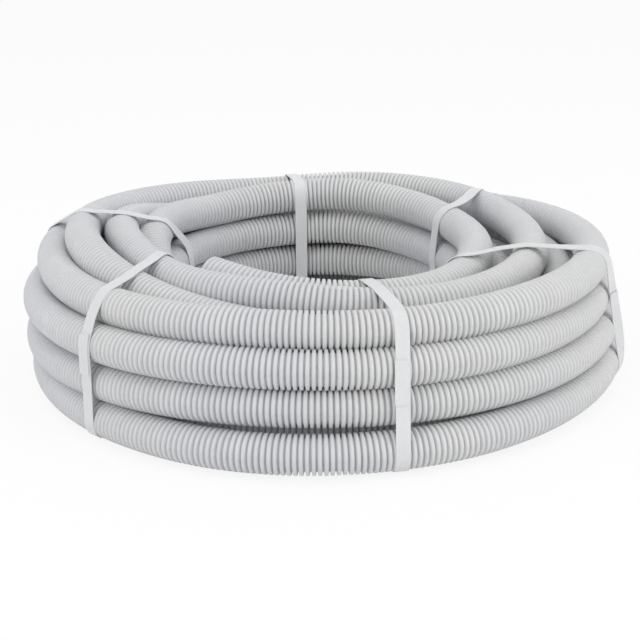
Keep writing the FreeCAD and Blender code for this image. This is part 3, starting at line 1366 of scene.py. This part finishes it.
    def build(self, winding: Winding, material: bpy.types.Material) -> bpy.types.Object:
        """Makes the strap with its welded overlap.

        Args:
            winding: the coil that it goes round.
            material: the strapping's material.

        Returns:
            The piece.
        """
        line, bearing = self.middle_line(winding)
        radial, across = self.directions(line, bearing)
        loose = sum((s.stand_off * s.share(bearing) for s in self.slack), np.zeros(len(line)))
        twist = sum((s.twist * s.share(bearing) for s in self.slack), np.zeros(len(line)))
        twist = np.radians(twist * np.clip(line[:, 2] / self.level_reach, 0.0, 1.0))[:, None]
        outward = radial * np.cos(twist) + across * np.sin(twist)
        sideways = across * np.cos(twist) - radial * np.sin(twist)
        phase = bearing * self.ripple_waves + self.lean[0][1] * self.ripple_shift
        ripple = self.ripple * (1.0 + np.sin(np.radians(phase)))
        line = line + radial * (loose + ripple)[:, None]
        work = bmesh.new()
        self.band(work, line, outward, sideways, closed=True)
        height = line[:, 2]
        outside = np.abs(bearing) < self.lap_reach
        lap = np.flatnonzero(outside & (height > self.lap_low) & (height < self.lap_high))
        lap = lap[np.argsort(height[lap])]
        end = np.linspace(0.0, 1.0, len(lap)) - self.flare_start
        rise = np.clip(end / (1.0 - self.flare_start), 0.0, 1.0) ** 2
        lift = STRAP_THICK * (1.0 + self.flare * rise)
        lifted = line[lap] + outward[lap] * lift[:, None] + sideways[lap] * self.lap_shift
        self.band(work, lifted, outward[lap], sideways[lap], closed=False)
        bmesh.ops.recalc_face_normals(work, faces=work.faces)
        mesh = bpy.data.meshes.new(self.node + "_band")
        work.to_mesh(mesh)
        work.free()
        mesh.materials.append(material)
        piece = in_scene(self.node + "_band", mesh)
        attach(piece, "root")
        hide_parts(self.node)
        LOG.info("%s: %d faces", piece.name, len(mesh.polygons))
        return piece


STRAPS = (
    Strap(
        "strap_front",
        ((100, 285), (125, 284.5), (200, 284), (222, 282.5)),
        lap_low=45.0 * MM,
        lap_high=70.5 * MM,
    ),
    Strap(
        "strap_left_front",
        ((110, 214.3), (146, 221.4), (172, 224.4), (188, 225.3), (196, 225.4), (203, 225.3), (213, 226.4)),
        lap_low=46.0 * MM,
        lap_high=72.0 * MM,
    ),
    Strap(
        "strap_left",
        ((102, 165), (108, 173), (122, 176.5), (143, 180), (162, 180), (180, 177), (204, 171.5)),
    ),
    Strap("strap_back", ((100, 98.3), (213, 99))),
    Strap(
        "strap_right_back",
        (
            (100, 22.3), (114, 24.2), (143, 33), (155, 36), (175, 40.5),
            (196, 44), (202, 44), (209, 41), (215, 38.5),
        ),
        (Slack(66.0, 13.0, -8.0 * MM),),
    ),
    Strap(
        "strap_right",
        ((100, 325), (121, 328), (135.5, 335.5), (151, 339.5), (195, 340.5), (208, 342), (219, 344)),
        (Slack(-8.0, 45.0, 1.0 * MM, 36.0),),
    ),
)


def plain_sight(tree: bpy.types.NodeTree) -> bpy.types.NodeSocket:
    """Adds a mask of the rays that show the surroundings as they are, straight or as a reflection.

    Args:
        tree: the node tree.

    Returns:
        The mask's socket, 0 or 1.
    """
    path = tree.nodes.new("ShaderNodeLightPath").outputs
    mirrored = math_node(tree, "MAXIMUM", path["Is Glossy Ray"], path["Is Transmission Ray"])
    return math_node(tree, "MAXIMUM", path["Is Camera Ray"], mirrored)


@dataclass(frozen=True)
class Lamp:
    """A soft square lamp that faces the coil.

    Args:
        name: the lamp's name.
        spot: where it hangs, in metres.
        size: side of its panel, in metres.
        watts: its power.
        aim: where it points.
    """

    name: str
    spot: tuple[float, float, float]
    size: float
    watts: float
    aim: tuple[float, float, float] = (0.0, 0.0, 0.05)

    def build(self) -> None:
        """Hangs the lamp in the scene."""
        data = bpy.data.lights.new(self.name, "AREA")
        data.size = self.size
        data.energy = self.watts
        lamp = in_scene(self.name, data)
        lamp.location = self.spot
        lamp.rotation_euler = (Vector(self.aim) - Vector(self.spot)).to_track_quat("-Z", "Y").to_euler()


LAMPS = (
    Lamp("overhead", (0.0, -0.2, 1.8), 1.6, 6.0),
    Lamp("front left", (-1.4, -1.4, 1.0), 1.0, 7.0),
    Lamp("right", (1.6, -0.9, 0.8), 1.2, 8.0),
)


@dataclass(frozen=True)
class Studio:
    """Pale floor, soft lamps, white surroundings and the camera.

    Args:
        camera_distance: from the lens to the point that it is aimed at, in metres.
        camera_elevation: how far it looks down, in degrees.
        camera_roll: how far it is turned about its view, in degrees.
        aim_height: height of the point that it is aimed at, on the coil's axis.
        focal_pixels: its focal length in pixels of the photo.
        frame_pixels: the photo's width in pixels.
        sensor_width: width of its sensor in millimetres.
        near_clip: nearest distance that it sees, in metres.
        white: colour of the surroundings.
        dimmed: strength of the surroundings where they only light the coil.
        floor_reach: half the floor's side, in metres.
        floor_colour: the floor's colour.
        floor_roughness: how dull it is.
        floor_glow: share of the floor that is plain white where it is seen.
    """

    camera_distance: float = 1.0
    camera_elevation: float = 18.21
    camera_roll: float = -0.81
    aim_height: float = 1.173 * CONDUIT_OD
    focal_pixels: float = 1352.0
    frame_pixels: float = 640.0
    sensor_width: float = 36.0
    near_clip: float = 0.01
    white: Colour = (1.0, 1.0, 1.0)
    dimmed: float = 0.8
    floor_reach: float = 6.0
    floor_colour: Colour = (0.9, 0.9, 0.9)
    floor_roughness: float = 0.9
    floor_glow: float = 0.86

    def camera(self) -> None:
        """Places the camera at the photographed angle."""
        tip = math.radians(self.camera_elevation)
        roll = math.radians(self.camera_roll)
        ahead = Vector((0.0, math.cos(tip), -math.sin(tip)))
        right = Vector((1.0, 0.0, 0.0))
        above = right.cross(ahead)
        across = right * math.cos(roll) + above * math.sin(roll)
        upward = above * math.cos(roll) - right * math.sin(roll)
        data = bpy.data.cameras.new("camera")
        data.sensor_width = self.sensor_width
        data.lens = self.sensor_width * self.focal_pixels / self.frame_pixels
        data.clip_start = self.near_clip
        lens = in_scene("camera", data)
        spot = Vector((0.0, 0.0, self.aim_height)) - ahead * self.camera_distance
        turn = Matrix((across, upward, -ahead)).transposed().to_4x4()
        lens.matrix_world = Matrix.Translation(spot) @ turn
        bpy.context.scene.camera = lens

    def surroundings(self) -> None:
        """White surroundings, at full strength only where they are seen."""
        world = bpy.data.worlds.new("studio")
        world.use_nodes = True
        tree = world.node_tree
        tree.nodes.clear()
        shades = [
            add_node(tree, "ShaderNodeBackground", (*self.white, 1.0), strength).outputs[0]
            for strength in (self.dimmed, 1.0)
        ]
        blend = add_node(tree, "ShaderNodeMixShader", plain_sight(tree), *shades)
        add_node(tree, "ShaderNodeOutputWorld", blend.outputs[0])
        bpy.context.scene.world = world

    def floor(self) -> None:
        """Pale floor that keeps the coil's shadow."""
        half = self.floor_reach
        mesh = bpy.data.meshes.new("floor")
        corners = [(-half, -half, 0), (half, -half, 0), (half, half, 0), (-half, half, 0)]
        mesh.from_pydata(corners, [], [(0, 1, 2, 3)])
        made, tree, shader = new_material("pale floor")
        feed(tree, shader.inputs["Base Color"], (*self.floor_colour, 1.0))
        feed(tree, shader.inputs["Roughness"], self.floor_roughness)
        glow = add_node(tree, "ShaderNodeEmission", (*self.white, 1.0), 1.0)
        share = math_node(tree, "MULTIPLY", plain_sight(tree), self.floor_glow)
        blend = add_node(tree, "ShaderNodeMixShader", share, shader.outputs[0], glow.outputs[0])
        tree.links.new(blend.outputs[0], tree.nodes["Material Output"].inputs["Surface"])
        mesh.materials.append(made)
        ground = in_scene("floor", mesh)

    def build(self) -> None:
        """Sets up the whole studio."""
        bpy.context.scene.view_settings.view_transform = "Standard"
        self.camera()
        self.surroundings()
        self.floor()
        for lamp in LAMPS:
            lamp.build()


def main() -> None:
    """Builds the pieces in order and reports each one."""
    logging.basicConfig(level=logging.INFO, format="%(name)s: %(message)s")
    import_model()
    effects = SharedEffects()
    conduit_material = ConduitFinish().material(effects)
    strap_material = StrapFinish().material(effects)
    winding = Winding()
    winding.build()
    pipe = RibbedPipe()
    pipe.build()
    ConduitCoil(winding, pipe, conduit_material).build()
    for strap in STRAPS:
        strap.build(winding, strap_material)
    Studio().build()


if __name__ == "__main__":
    main()
